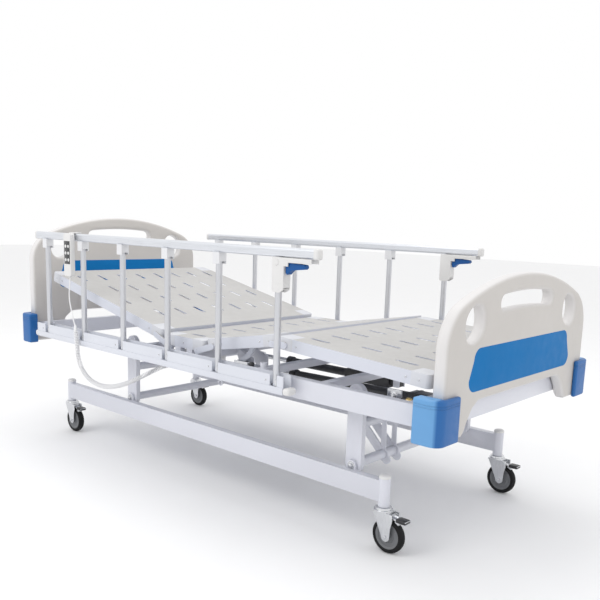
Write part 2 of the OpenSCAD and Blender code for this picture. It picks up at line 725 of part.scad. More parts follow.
module back_section() color(paint)
    translate([back_pivot[0], 0, back_pivot[1]]) rotate([0, back_angle, 0]) translate([-back_pivot[0], 0, -back_pivot[1]]) {
        difference() {
            tray(back_x[0], back_x[1]);
            slots(back_x[0] + 115, 4, 165);
        }
        ears([back_x[1] - 30, deck_bottom + 12], back_pivot);
        // torsion bar below the sheet and the lever that the actuator pushes
        y_rod([back_x[1] - 30, deck_bottom + 12], bar_r, -deck_w / 2 + 1, deck_w / 2 - 1);
        crank([back_x[1] - 30, deck_bottom + 12], back_pivot + [-62, -43],
              back_pivot + back_lever * [sin(40), -cos(40)], 0);
        // stiffening ribs under the sheet
        for (y = [-120, 120]) box([back_x[0] + 190, y - 3, deck_bottom + 4], [back_x[1] - 30, y + 3, deck_top - sheet / 2]);
    }

module at_thigh() {
    translate([thigh_pivot[0], 0, thigh_pivot[1]]) rotate([0, -thigh_angle, 0])
        translate([-thigh_pivot[0], 0, -thigh_pivot[1]]) children();
}

module thigh_section() color(paint) at_thigh() {
    difference() {
        tray(thigh_x[0], thigh_x[1]);
        slots(thigh_x[0] + 90, 2, 165);
    }
    ears([thigh_x[0] + 30, deck_bottom + 12], thigh_pivot);
    y_rod([thigh_x[0] + 30, deck_bottom + 12], bar_r, -deck_w / 2 + 1, deck_w / 2 - 1);
    crank([thigh_x[0] + 30, deck_bottom + 12], thigh_pivot + [42, -38],
          thigh_pivot - knee_lever * [sin(20), cos(20)], knee_act_y);
    // knee pins
    for (s = [-1, 1])
        y_rod(knee_pivot, deck_pin_r, s > 0 ? deck_w / 2 - 4 : -ear_y - ear_t - 1, s > 0 ? ear_y + ear_t + 1 : -deck_w / 2 + 4);
}

module calf_section() color(paint) at_thigh()
    translate([knee_pivot[0], 0, knee_pivot[1]]) rotate([0, knee_angle, 0])
        translate([-knee_pivot[0], 0, -knee_pivot[1]]) {
            difference() {
                tray(calf_x[0], calf_x[1]);
                slots(calf_x[0] + 115, 3, 165);
            }
            ears([calf_x[0] + 30, deck_bottom + 16], knee_pivot);
            // support arms with a round boss
            for (s = [-1, 1])
                link([calf_x[0] + 275, deck_bottom - 28], [calf_x[0] + 400, deck_bottom + 10], 9, s * 290 - 4, s * 290 + 4);
            for (s = [-1, 1])
                box([calf_x[0] + 380, s * 290 - 12, deck_bottom + 2], [calf_x[0] + 460, s * 290 + 12, deck_top - sheet / 2]);
        }

// ---------- actuators ----------
// housing drawn along +X from the front of its tube, rod eye at the origin
module actuator_body(tube0, tube1, total) {
    difference() {
        union() {
            translate([tube0, 0, 0]) rotate([0, 90, 0]) cylinder(r = 15, h = tube1 - tube0);
            translate([tube0, 0, 0]) rotate([0, 90, 0]) cylinder(r = 19, h = 24);
            box([tube1, -24, -20], [total - 40, 24, 20]);
            translate([tube1 + 20, 0, 0]) rotate([90, 0, 0]) cylinder(r = 22, h = 48, center = true);
            box([total - 41, -12, -12], [total, 12, 12]);
        }
        translate([total - eye, 0, 0]) rotate([90, 0, 0]) cylinder(r = act_pin_r + run, h = 60, center = true);
        translate([tube0 - 1, 0, 0]) rotate([0, 90, 0]) cylinder(r = rod_r + run, h = tube1 - tube0);
    }
}

// rod with a fork that straddles its lever, reach = inside length of the fork
module rod_fork(length, reach) {
    translate([reach + 4, 0, 0]) rotate([0, 90, 0]) cylinder(r = rod_r, h = length - reach - 4);
    for (s = [-1, 1]) box([-14, s * 8 - 2, -13], [reach + 6, s * 8 + 2, 13]);
    box([reach, -10, -13], [reach + 7, 10, 13]);
}

module back_actuator() color(black_plastic)
    translate([back_tip[0], 0, back_act_z]) actuator_body(168, 470, back_total);
module back_rod() color(bright) translate([back_tip[0], 0, back_act_z]) rod_fork(440, 20);

module at_knee() { translate([knee_tip[0], knee_act_y, knee_tip[1]]) rotate([0, -knee_tilt, 0]) children(); }
module knee_actuator() color(black_plastic)
    at_knee() actuator_body(280, 790, knee_total);
module knee_rod() color(bright) at_knee() rod_fork(520, 52);

module at_lift() { translate([lift_pivot[0], lift_y, lift_pivot[1]]) rotate([0, -lift_tilt, 0]) children(); }
module lift_actuator() color(black_plastic) at_lift()
    difference() {
        union() {
            box([-14, -33, -14], [40, 33, 14]);
            box([30, -33, -26], [130, 33, 26]);
            translate([130, 0, 0]) rotate([0, 90, 0]) cylinder(r = 16, h = 200);
        }
        rotate([90, 0, 0]) cylinder(r = 6 + run, h = 100, center = true);
        translate([131, 0, 0]) rotate([0, 90, 0]) cylinder(r = rod_r + run, h = 220);
    }
module lift_rod() color(bright) at_lift() {
    translate([136, 0, 0]) rotate([0, 90, 0]) cylinder(r = rod_r, h = lift_len - 146);
    translate([lift_len, 0, 0]) rotate([90, 0, 0]) cylinder(r = 15, h = 20, center = true);
    box([lift_len - 18, -10, -9], [lift_len, 10, 9]);
}

module control_box() color(white_plastic) {
    box([box_x[0], box_y[0], box_z[0]], [box_x[1], box_y[1], box_z[1]]);
    for (x = [box_x[0] + 45, box_x[0] + 75, box_x[0] + 105])
        translate([x, box_y[1], (box_z[0] + box_z[1]) / 2]) rotate([-90, 0, 0]) cylinder(r = 7, h = 12);
}

// ---------- handset ----------
module handset() color(white_plastic) {
    y1 = -hs_back;
    y0 = -hs_back - handset_t;
    r = 8;
    difference() {
        union() {
            translate([hs_x, y1, hs_top - handset_l]) rotate([90, 0, 0]) linear_extrude(handset_t) {
                translate([-handset_w / 2 + r, 0]) square([handset_w - 2 * r, handset_l]);
                translate([-handset_w / 2, r]) square([handset_w, handset_l - 2 * r]);
                for (a = [-1, 1], b = [r, handset_l - r]) translate([a * (handset_w / 2 - r), b]) circle(r = r);
            }
            // strain relief
            translate([hs_x, lead_pts[0][1], hs_top - handset_l - 8]) cylinder(r1 = 4, r2 = 5.5, h = 9);
            // hook over the hand rail
            box([hs_x - 14, y1 + weld, hs_top - 22], [hs_x + 14, y1 + 4, hs_top + 4]);
            box([hs_x - 14, y1 + weld, hs_top], [hs_x + 14, -rail_y + rail_w / 2 + 5, hs_top + 4]);
            box([hs_x - 14, -rail_y + rail_w / 2 + 1, hs_top - 18], [hs_x + 14, -rail_y + rail_w / 2 + 5, hs_top + 4]);
        }
        for (i = [1:6]) translate([button_at(i)[0], y0 - 1, button_at(i)[1]]) rotate([-90, 0, 0])
            cylinder(r = button_r + 0.4, h = 7);
        translate([hs_x, lead_pts[0][1], hs_top - handset_l - 9]) cylinder(r = cord_d / 2 + 0.4, h = 14);
    }
}

function button_at(i) = [hs_x + (i % 2 == 1 ? -10 : 10), hs_top - 52 - floor((i - 1) / 2) * 27];

module button(i) color(white_plastic)
    translate([button_at(i)[0], -hs_back - handset_t - 1, button_at(i)[1]]) rotate([-90, 0, 0]) cylinder(r = button_r, h = 4.5);

// ---------- cord ----------
module cord_lead() color(white_plastic) sweep(smooth_route(lead_pts, 2), cord_d / 2, 8);
module cord_coil() color(white_plastic) sweep(smooth_route(coil_pts, 2), coil_d / 2, 12);

// ---------- small fittings on the frame ----------
module frame_fittings() {
    // clamp knobs of the drip-pole sockets
    color(black_plastic) for (s = [-1, 1])
        translate([foot_leg_x - 355, s * (beam_y + 12), frame_top + 16]) sphere(r = 10);
    color(bright) for (s = [-1, 1])
        translate([foot_leg_x - 355, s * (beam_y + 12), frame_top - 20]) cylinder(r = 4, h = 28);
    color(bright) for (s = [-1, 1])
        box([foot_leg_x - 361, s > 0 ? beam_y : -beam_y - 16, frame_top - 26], [foot_leg_x - 349, s > 0 ? beam_y + 16 : -beam_y, frame_top - 19]);
    // drainage hooks below the beams
    color(paint) for (s = [-1, 1], x = [-738, 180])
        translate([x, s * (beam_y - 6), beam_z - 12]) rotate([90, 0, 0]) difference() {
            cylinder(r = 12, h = 5, center = true);
            cylinder(r = 6, h = 7, center = true);
        }
}

base_frame();
for (i = [1:4]) {
    translate(castor_at(i)) castor_fork();
    translate(castor_at(i)) castor_wheel();
    translate(castor_at(i)) brake_pedal();
}
head_legs();
foot_legs();
main_frame();
headboard();
footboard();
board_panels();
corner_bumpers();
rail_channels();
seat_section();
back_section();
thigh_section();
calf_section();
for (i = [1:6]) {
    rail_post(post_x[i - 1], -1);
    rail_post(post_x[i - 1], 1);
    button(i);
}
handrail(-1);  // near_handrail
handrail(1);  // far_handrail
latch_housing(-1);  // near_latch_housing
latch_housing(1);  // far_latch_housing
release_lever(-1);  // near_release_lever
release_lever(1);  // far_release_lever
back_actuator();
back_rod();
knee_actuator();
knee_rod();
lift_actuator();
lift_rod();
control_box();
handset();
cord_lead();
cord_coil();
frame_fittings();
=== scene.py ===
import json, math
import bpy
from mathutils import Matrix, Vector


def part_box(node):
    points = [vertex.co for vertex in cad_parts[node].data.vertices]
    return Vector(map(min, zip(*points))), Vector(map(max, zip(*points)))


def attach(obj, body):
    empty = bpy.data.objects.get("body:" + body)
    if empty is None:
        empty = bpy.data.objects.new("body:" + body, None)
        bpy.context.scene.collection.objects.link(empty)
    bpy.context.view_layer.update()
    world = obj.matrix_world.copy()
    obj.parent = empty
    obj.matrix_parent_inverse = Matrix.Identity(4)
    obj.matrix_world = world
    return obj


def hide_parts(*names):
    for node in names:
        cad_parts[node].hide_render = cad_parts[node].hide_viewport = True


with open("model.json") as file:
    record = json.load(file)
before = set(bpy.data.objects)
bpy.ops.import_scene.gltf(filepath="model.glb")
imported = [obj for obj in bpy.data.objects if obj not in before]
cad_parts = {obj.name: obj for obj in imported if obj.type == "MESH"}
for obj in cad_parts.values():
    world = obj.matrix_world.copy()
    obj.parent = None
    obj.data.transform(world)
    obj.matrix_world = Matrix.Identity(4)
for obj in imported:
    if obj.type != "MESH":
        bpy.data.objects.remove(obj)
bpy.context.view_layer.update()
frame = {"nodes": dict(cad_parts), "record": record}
nodes = frame["nodes"]


# where the view is taken from, in metres and degrees
view = {"place": (2.0386, -2.1007, 0.9752), "yaw": 41.32, "down": 10.19, "roll": 1.98,
        "lens": 43.74, "shift": (-0.0106, 0.0901)}


def makeCamera():
    yaw, down, roll = (math.radians(view[k]) for k in ("yaw", "down", "roll"))
    ahead = Vector((-math.sin(yaw) * math.cos(down), math.cos(yaw) * math.cos(down), -math.sin(down)))
    right = Vector((math.cos(yaw), math.sin(yaw), 0))
    up = right.cross(ahead)
    right, up = right * math.cos(roll) + up * math.sin(roll), up * math.cos(roll) - right * math.sin(roll)
    data = bpy.data.cameras.new("bedCamera")
    data.lens, data.sensor_width = view["lens"], 36
    data.shift_x, data.shift_y = view["shift"]
    data.clip_start, data.clip_end = 0.05, 60
    camera = bpy.data.objects.new("bedCamera", data)
    bpy.context.scene.collection.objects.link(camera)
    camera.matrix_world = Matrix.Translation(view["place"]) @ Matrix((right, up, -ahead)).transposed().to_4x4()
    bpy.context.scene.camera = camera


makeCamera()
print("camera placed")


# shorthand for the nodes of a material
def nodeTree(name):
    mat = bpy.data.materials.new(name)
    mat.use_nodes = True
    tree = mat.node_tree
    return mat, tree, tree.nodes["Principled BSDF"]


def place(tree):
    return tree.nodes.new("ShaderNodeTexCoord").outputs["Object"]


def noise(tree, at, scale, detail=4, stretch=None):
    if stretch:
        mapping = tree.nodes.new("ShaderNodeMapping")
        mapping.inputs["Scale"].default_value = stretch
        tree.links.new(at, mapping.inputs["Vector"])
        at = mapping.outputs["Vector"]
    n = tree.nodes.new("ShaderNodeTexNoise")
    n.inputs["Scale"].default_value = scale
    n.inputs["Detail"].default_value = detail
    tree.links.new(at, n.inputs["Vector"])
    return n.outputs["Fac"]


def ramp(tree, fac, stops):
    r = tree.nodes.new("ShaderNodeValToRGB")
    while len(r.color_ramp.elements) < len(stops):
        r.color_ramp.elements.new(0.5)
    for e, (pos, col) in zip(r.color_ramp.elements, stops):
        e.position = pos
        e.color = (*col, 1) if hasattr(col, "__len__") else (col, col, col, 1)
    tree.links.new(fac, r.inputs["Fac"])
    return r.outputs["Color"]


def shade(col, k):
    return tuple(min(1, c * k) for c in col)


def bumpFrom(tree, shader, height, distance, strength=1.0):
    b = tree.nodes.new("ShaderNodeBump")
    b.inputs["Distance"].default_value = distance
    b.inputs["Strength"].default_value = strength
    tree.links.new(height, b.inputs["Height"])
    if shader.inputs["Normal"].is_linked:
        tree.links.new(shader.inputs["Normal"].links[0].from_socket, b.inputs["Normal"])
    tree.links.new(b.outputs["Normal"], shader.inputs["Normal"])


def mix(tree, fac, a, b):
    m = tree.nodes.new("ShaderNodeMix")
    m.data_type = "RGBA"
    tree.links.new(fac, m.inputs["Factor"])
    for socket, v in ((m.inputs["A"], a), (m.inputs["B"], b)):
        if hasattr(v, "is_linked"):
            tree.links.new(v, socket)
        else:
            socket.default_value = (*v, 1)
    return m.outputs["Result"]


def calc(tree, op, a, b):
    m = tree.nodes.new("ShaderNodeMath")
    m.operation = op
    for socket, v in zip(m.inputs, (a, b)):
        if hasattr(v, "is_linked"):
            tree.links.new(v, socket)
        else:
            socket.default_value = v
    return m.outputs[0]


def axisOf(tree, at, axis):
    s = tree.nodes.new("ShaderNodeSeparateXYZ")
    tree.links.new(at, s.inputs[0])
    return s.outputs[axis]


# painted or moulded surface: colour drifts a little, fine grain in the bump, roughness breaks up
def coated(name, colour, rough=0.4, grain=900, grainDepth=0.00006, drift=0.04, coat=0.0, grime=0.0, specular=0.5):
    mat, tree, shader = nodeTree(name)
    at = place(tree)
    slow = noise(tree, at, 3.5, 5)
    base = ramp(tree, slow, [(0.3, shade(colour, 1 - drift)), (0.7, shade(colour, 1 + drift))])
    if grime:
        spots = noise(tree, at, 38, 8)
        base = mix(tree, ramp(tree, spots, [(0.62, 0.0), (0.80, grime)]), base, shade(colour, 0.72))
    tree.links.new(base, shader.inputs["Base Color"])
    fine = noise(tree, at, grain, 2)
    tree.links.new(ramp(tree, noise(tree, at, 24, 6), [(0.3, rough * 0.85), (0.7, min(1, rough * 1.18))]),
                   shader.inputs["Roughness"])
    bumpFrom(tree, shader, fine, grainDepth)
    shader.inputs["Coat Weight"].default_value = coat
    shader.inputs["Coat Roughness"].default_value = 0.15
    shader.inputs["Specular IOR Level"].default_value = specular
    return mat


# drawn or polished metal, the fine lines run along one axis
def metalLike(name, colour, rough=0.25, lines=(1, 60, 60), depth=0.00003, anisotropy=0.3):
    mat, tree, shader = nodeTree(name)
    at = place(tree)
    streak = noise(tree, at, 14, 6, lines)
    tint = ramp(tree, streak, [(0.25, shade(colour, 0.90)), (0.75, shade(colour, 1.06))])
    tree.links.new(tint, shader.inputs["Base Color"])
    tree.links.new(ramp(tree, streak, [(0.2, rough * 0.75), (0.8, rough * 1.35)]), shader.inputs["Roughness"])
    bumpFrom(tree, shader, streak, depth)
    shader.inputs["Metallic"].default_value = 1
    shader.inputs["Anisotropic"].default_value = anisotropy
    return mat


# section: one paint, with painted light and shade set by facing, the top face a deeper, warmer grey and the folded
# edges a paler, cooler one
def sectionPaint(top, edge):
    mat, tree, shader = nodeTree("sectionPaint")
    at = place(tree)
    coord = tree.nodes.new("ShaderNodeTexCoord")
    up = axisOf(tree, coord.outputs["Normal"], 2)
    # painted light and shade: the upward faces get one colour, the folded edges another
    facing = ramp(tree, up, [(0.62, 0.0), (0.74, 1.0)])
    slow = noise(tree, at, 5, 5)
    topCol = ramp(tree, slow, [(0.3, shade(top, 0.965)), (0.7, shade(top, 1.02))])
    edgeCol = ramp(tree, slow, [(0.3, shade(edge, 0.97)), (0.7, shade(edge, 1.02))])
    tree.links.new(mix(tree, facing, edgeCol, topCol), shader.inputs["Base Color"])
    tree.links.new(ramp(tree, noise(tree, at, 30, 5), [(0.3, 0.42), (0.7, 0.58)]), shader.inputs["Roughness"])
    bumpFrom(tree, shader, noise(tree, at, 700, 3), 0.00008)
    return mat


# moulded board: matt faces, and a painted highlight on the rounded edge, which gets a lighter colour than the faces
def boardPlastic(face, rimHighlight):
    mat, tree, shader = nodeTree("boardPlastic")
    at = place(tree)
    coord = tree.nodes.new("ShaderNodeTexCoord")
    across = calc(tree, "ABSOLUTE", axisOf(tree, coord.outputs["Normal"], 0), 0)
    # faces pointing along the bed keep the board colour, the rounded edge gets the painted highlight
    flat = ramp(tree, across, [(0.45, 0.0), (0.97, 1.0)])
    slow = noise(tree, at, 4, 5)
    faceCol = ramp(tree, slow, [(0.3, shade(face, 0.98)), (0.7, shade(face, 1.02))])
    rimHighlightCol = ramp(tree, slow, [(0.3, shade(rimHighlight, 0.98)), (0.7, shade(rimHighlight, 1.02))])
    tree.links.new(mix(tree, flat, rimHighlightCol, faceCol), shader.inputs["Base Color"])
    tree.links.new(ramp(tree, noise(tree, at, 30, 5), [(0.3, 0.40), (0.7, 0.52)]), shader.inputs["Roughness"])
    bumpFrom(tree, shader, noise(tree, at, 420, 3), 0.00016)
    return mat


# two finishes split at a height, such as white collars under the aluminium hand rail
def splitAtHeight(name, low, high, z, roughLow=0.4, roughHigh=0.3, metalHigh=1.0):
    mat, tree, shader = nodeTree(name)
    at = place(tree)
    above = calc(tree, "GREATER_THAN", axisOf(tree, at, 2), z)
    streak = noise(tree, at, 14, 6, (1, 60, 60))
    highCol = ramp(tree, streak, [(0.25, shade(high, 0.92)), (0.75, shade(high, 1.05))])
    lowCol = ramp(tree, noise(tree, at, 6, 4), [(0.3, shade(low, 0.97)), (0.7, shade(low, 1.02))])
    tree.links.new(mix(tree, above, lowCol, highCol), shader.inputs["Base Color"])
    dull = ramp(tree, streak, [(0.2, roughHigh * 0.8), (0.8, roughHigh * 1.3)])
    tree.links.new(mix(tree, above, (roughLow,) * 3, dull), shader.inputs["Roughness"])
    tree.links.new(calc(tree, "MULTIPLY", above, metalHigh), shader.inputs["Metallic"])
    bumpFrom(tree, shader, streak, 0.00002)
    return mat


# bumper: light face, with painted shade in a deeper blue on the round corner beyond cornerStart and over the head-end
# bumpers, two fine grooves near the top
def bumperPlastic(light, dark, cornerStart, grooves):
    mat, tree, shader = nodeTree("bumperPlastic")
    at = place(tree)
    x = axisOf(tree, at, 0)
    wrap = calc(tree, "MULTIPLY", calc(tree, "SUBTRACT", calc(tree, "ABSOLUTE", x, 0), cornerStart), 110)
    headEnd = calc(tree, "LESS_THAN", x, 0)
    # painted shade: the round corners and the whole head end take the deep blue
    paintedShadeMask = ramp(tree, calc(tree, "MAXIMUM", wrap, headEnd), [(0.0, 0.0), (1.0, 1.0)])
    slow = noise(tree, at, 9, 4)
    lightCol = ramp(tree, slow, [(0.3, shade(light, 0.95)), (0.7, shade(light, 1.04))])
    tree.links.new(mix(tree, paintedShadeMask, lightCol, dark), shader.inputs["Base Color"])
    tree.links.new(ramp(tree, noise(tree, at, 40, 5), [(0.3, 0.32), (0.7, 0.46)]), shader.inputs["Roughness"])
    bumpFrom(tree, shader, noise(tree, at, 900, 2), 0.00005)
    z = axisOf(tree, at, 2)
    for g in grooves:
        off = calc(tree, "ABSOLUTE", calc(tree, "SUBTRACT", z, g), 0)
        bumpFrom(tree, shader, ramp(tree, calc(tree, "MULTIPLY", off, 400), [(0.35, 0.0), (0.65, 1.0)]), 0.0012)
    return mat


paintWhite = coated("paintWhite", (0.655, 0.665, 0.725), 0.36, 500, 0.00010, 0.02, 0.25, grime=0.10)
# the second colour is the painted highlight on the rounded edge of the boards
warmPlastic = boardPlastic((0.552, 0.528, 0.504), (0.705, 0.69, 0.685))
panelBlue = coated("panelBlue", (0.006, 0.158, 0.425), 0.42, 800, 0.00005, 0.05, specular=0.08)
# the second blue is painted shade on the round corners and the head end
bumperBlue = bumperPlastic((0.125, 0.33, 0.62), (0.008, 0.115, 0.36), 1.078, (0.517, 0.510))
leverBlue = coated("leverBlue", (0.005, 0.085, 0.30), 0.36, 700, 0.00005, 0.06, specular=0.3)
moulding = coated("moulding", (0.71, 0.705, 0.70), 0.42, 600, 0.00009, 0.02, 0.1, grime=0.06)
capPlastic = coated("capPlastic", (0.615, 0.625, 0.665), 0.44, 600, 0.00009, 0.02, 0.05)
# the two colours are painted light and shade of one section paint, split by facing
sectionFacingShade = sectionPaint((0.492, 0.484, 0.474), (0.625, 0.645, 0.715))
blackPlastic = coated("blackPlastic", (0.018, 0.018, 0.021), 0.38, 500, 0.00010, 0.12, 0.1)
brightSteel = metalLike("brightSteel", (0.62, 0.63, 0.65), 0.20, (1, 40, 40))
zincChrome = metalLike("zincChrome", (0.66, 0.67, 0.69), 0.16, (20, 20, 3), 0.00004, 0.1)
postMetal = metalLike("postMetal", (0.66, 0.67, 0.70), 0.36, (70, 70, 1), 0.00003, 0.4)
railMetal = splitAtHeight("railMetal", (0.72, 0.725, 0.745), (0.74, 0.76, 0.80), 0.8711, 0.38, 0.30, 0.85)
channelPaint = coated("channelPaint", (0.64, 0.66, 0.72), 0.32, 600, 0.00006, 0.02, 0.3)
tyreRubber = coated("tyreRubber", (0.012, 0.012, 0.013), 0.72, 260, 0.00025, 0.15, grime=0.25, specular=0.2)
hubGrey = coated("hubGrey", (0.15, 0.155, 0.165), 0.44, 500, 0.00010, 0.04)
cordWhite = coated("cordWhite", (0.82, 0.82, 0.83), 0.45, 700, 0.00005, 0.03)
keypadBlack = coated("keypadBlack", (0.020, 0.020, 0.022), 0.30, 800, 0.00004, 0.08, 0.4)
brass = metalLike("brass", (0.62, 0.45, 0.18), 0.28, (30, 30, 30))
# near-black for the pits where the posts enter the channels: painted shade
gapShade = coated("gapShade", (0.03, 0.03, 0.034), 0.7, 300, 0.00010, 0.1)
print("materials made")


# selecting, finishing and starting shapes
def nothingSelected():
    if bpy.context.mode != "OBJECT":
        bpy.ops.object.mode_set(mode="OBJECT")
    bpy.ops.object.select_all(action="DESELECT")


def work(obj):
    nothingSelected()
    obj.select_set(True)
    bpy.context.view_layer.objects.active = obj


def settle(obj):
    work(obj)
    bpy.ops.object.transform_apply(location=True, rotation=True, scale=True)


# leaves the object in edit mode with the wanted edges selected
def pickEdges(obj, wanted):
    work(obj)
    bpy.ops.object.mode_set(mode="EDIT")
    bpy.ops.mesh.select_mode(type="EDGE")
    bpy.ops.mesh.select_all(action="DESELECT")
    bpy.ops.object.mode_set(mode="OBJECT")
    points = obj.data.vertices
    for edge in obj.data.edges:
        edge.select = wanted(points[edge.vertices[0]].co, points[edge.vertices[1]].co)
    bpy.ops.object.mode_set(mode="EDIT")


def done():
    bpy.ops.object.mode_set(mode="OBJECT")


def softenEdges(obj, width, segments=3, angle=32):
    work(obj)
    bevel = obj.modifiers.new("edges", "BEVEL")
    bevel.width, bevel.segments = width, segments
    bevel.limit_method, bevel.angle_limit = "ANGLE", math.radians(angle)
    bpy.ops.object.modifier_apply(modifier="edges")


def smooth(obj, angle=38):
    work(obj)
    bpy.ops.object.shade_smooth_by_angle(angle=math.radians(angle))


def hand(obj, name, body, mat, replaces=(), angle=38):
    obj.name = obj.data.name = name
    obj.data.materials.clear()
    obj.data.materials.append(mat)
    smooth(obj, angle)
    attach(obj, body)
    if replaces:
        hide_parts(*replaces)
    return obj


def block(low, high, edge=0.002, segments=3):
    nothingSelected()
    low, high = Vector(low), Vector(high)
    bpy.ops.mesh.primitive_cube_add(size=1, location=(low + high) / 2, scale=high - low)
    obj = bpy.context.object
    settle(obj)
    if edge:
        softenEdges(obj, edge, segments)
    return obj


def rod(start, end, radius, edge, sides):
    nothingSelected()
    start, end = Vector(start), Vector(end)
    bpy.ops.mesh.primitive_cylinder_add(vertices=sides, radius=radius, depth=(end - start).length,
                                        location=(start + end) / 2,
                                        rotation=(end - start).to_track_quat("Z", "Y").to_euler())
    obj = bpy.context.object
    settle(obj)
    softenEdges(obj, edge, 2, 50)
    return obj


def ball(centre, radius):
    nothingSelected()
    bpy.ops.mesh.primitive_uv_sphere_add(segments=28, ring_count=16, radius=radius, location=centre)
    obj = bpy.context.object
    settle(obj)
    return obj


# a profile of radius and height, spun round its axis and closed
def turned(profile, centre, axis="Z", steps=48):
    nothingSelected()
    mesh = bpy.data.meshes.new("turned")
    mesh.from_pydata([(r, 0, h) for r, h in profile], [(i, i + 1) for i in range(len(profile) - 1)], [])
    obj = bpy.data.objects.new("turned", mesh)
    bpy.context.scene.collection.objects.link(obj)
    work(obj)
    bpy.ops.object.mode_set(mode="EDIT")
    bpy.ops.mesh.select_all(action="SELECT")
    bpy.ops.mesh.spin(steps=steps, angle=math.tau, center=(0, 0, 0), axis=(0, 0, 1))
    bpy.ops.mesh.select_all(action="SELECT")
    bpy.ops.mesh.remove_doubles(threshold=0.00001)
    bpy.ops.mesh.normals_make_consistent(inside=False)
    done()
    if axis == "Y":
        obj.rotation_euler = (math.radians(-90), 0, 0)
    if axis == "X":
        obj.rotation_euler = (0, math.radians(90), 0)
    obj.location = centre
    settle(obj)
    return obj


def joined(objs):
    work(objs[0])
    for o in objs[1:]:
        o.select_set(True)
    bpy.ops.object.join()
    return bpy.context.object


# a merged copy of a CAD node, ready to be shaped further
def copyNode(name):
    nothingSelected()
    source = nodes[name]
    obj = bpy.data.objects.new(name + "Shaped", source.data.copy())
    bpy.context.scene.collection.objects.link(obj)
    work(obj)
    bpy.ops.object.mode_set(mode="EDIT")
    bpy.ops.mesh.select_all(action="SELECT")
    bpy.ops.mesh.remove_doubles(threshold=0.00003)
    bpy.ops.mesh.dissolve_limited(angle_limit=math.radians(1.0))
    done()
    return obj


def paintNode(name, mat):
    nodes[name].data.materials.clear()
    nodes[name].data.materials.append(mat)
    smooth(nodes[name], 35)


# the piece with its edges rounded, shown in place of the node
def rounded(name, body, mat, edge=0.002, segments=3):
    obj = copyNode(name)
    softenEdges(obj, edge, segments)
    return hand(obj, name + "Shape", body, mat, [name])


# straight lead and curly cord of the handset, diameters in metres and routes in millimetres
cordFacts = {"leadDiameter": 0.005, "wireDiameter": 0.0044, "coilDiameter": 0.019, "pitch": 0.0066,
             "ferruleAt": (-0.6125, -0.517, 0.505),
             "ferrule": [(0.0001, 0.0), (0.0042, 0.0005), (0.0056, 0.006), (0.0060, 0.016), (0.0052, 0.024),
                         (0.0034, 0.030), (0.0001, 0.0305)],
             "relief": [(0.0001, 0), (0.010, 0), (0.0105, 0.004), (0.0085, 0.022), (0.0072, 0.028), (0.0001, 0.0282)]}
leadRoute = [(-650, -514, 733), (-650, -514, 715), (-652, -515, 690), (-654, -516, 665), (-652, -517, 635),
             (-644, -517, 605), (-634, -517, 575), (-624, -517, 550), (-615, -517, 530), (-612, -517, 520)]
coilRoute = [(-612, -517, 520), (-609, -517, 500), (-606, -517, 475), (-603, -517, 450), (-600, -517, 425),
             (-592, -517, 395), (-576, -516, 365), (-550, -515, 340), (-515, -514, 322), (-475, -511, 312),
             (-435, -508, 309), (-395, -503, 312), (-355, -496, 321), (-318, -486, 334), (-285, -473, 350),
             (-258, -455, 367), (-238, -434, 382), (-224, -410, 395), (-214, -385, 405), (-207, -355, 411),
             (-203, -325, 414), (-202, -300, 415)]


def alongRoute(route, t):
    p = [Vector(q) / 1000 for q in route]
    i = min(int(t), len(p) - 2)
    f = t - i
    a, b, c, d = p[max(i - 1, 0)], p[i], p[i + 1], p[min(i + 2, len(p) - 1)]
    return 0.5 * (2 * b + (c - a) * f + (2 * a - 5 * b + 4 * c - d) * f * f + (3 * b - a - 3 * c + d) * f ** 3)


def evenly(route, step):
    raw = [alongRoute(route, (len(route) - 1) * k / 2000) for k in range(2001)]
    points, left = [raw[0]], step
    for a, b in zip(raw, raw[1:]):
        gap = (b - a).length
        while gap >= left:
            a = a + (b - a) * (left / gap)
            gap -= left
            points.append(a.copy())
            left = step
        left -= gap
    return points


def wire(name, points, radius, sides=3):
    data = bpy.data.curves.new(name, "CURVE")
    data.dimensions, data.bevel_depth, data.bevel_resolution, data.use_fill_caps = "3D", radius, sides, True
    spline = data.splines.new("POLY")
    spline.points.add(len(points) - 1)
    for sp, p in zip(spline.points, points):
        sp.co = (*p, 1)
    obj = bpy.data.objects.new(name, data)
    bpy.context.scene.collection.objects.link(obj)
    data.materials.append(cordWhite)
    return obj


def pathLength(points):
    return sum((b - a).length for a, b in zip(points, points[1:]))


def makeCords():
    straight = evenly(leadRoute, 0.006)
    lead = wire("handsetLead", straight, cordFacts["leadDiameter"] / 2)
    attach(lead, "frame")
    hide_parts("cord_lead")
    ferrule = turned(cordFacts["ferrule"], cordFacts["ferruleAt"], steps=24)
    hand(ferrule, "leadFerrule", "frame", cordWhite)
    line = evenly(coilRoute, 0.0011)
    total = pathLength(line)
    turns = total / cordFacts["pitch"]
    radius = (cordFacts["coilDiameter"] - cordFacts["wireDiameter"]) / 2
    across = Vector((1, 0, 0))
    helix, count = [], int(turns * 12)
    for k in range(count + 1):
        s = min(k / count * (len(line) - 1), len(line) - 1.001)
        i = int(s)
        here = line[i].lerp(line[i + 1], s - i)
        tangent = (line[min(i + 6, len(line) - 1)] - line[max(i - 6, 0)]).normalized()
        across = (across - tangent * across.dot(tangent)).normalized()
        turn = math.tau * turns * k / count
        wide = radius * min(1, 0.25 + k / 30, 0.25 + (count - k) / 30)
        helix.append(here + (across * math.cos(turn) + tangent.cross(across) * math.sin(turn)) * wide)
    coil = wire("curlyCord", helix, cordFacts["wireDiameter"] / 2, 2)
    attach(coil, "frame")
    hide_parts("cord_coil")
    relief = turned(cordFacts["relief"], (0, 0, 0))
    end = Vector(coilRoute[-1]) / 1000
    relief.data.transform(Matrix.Translation(end) @ Matrix.Rotation(math.radians(90), 4, "X"))
    hand(relief, "coilRelief", "frame", cordWhite)


makeCords()
print("cords made")


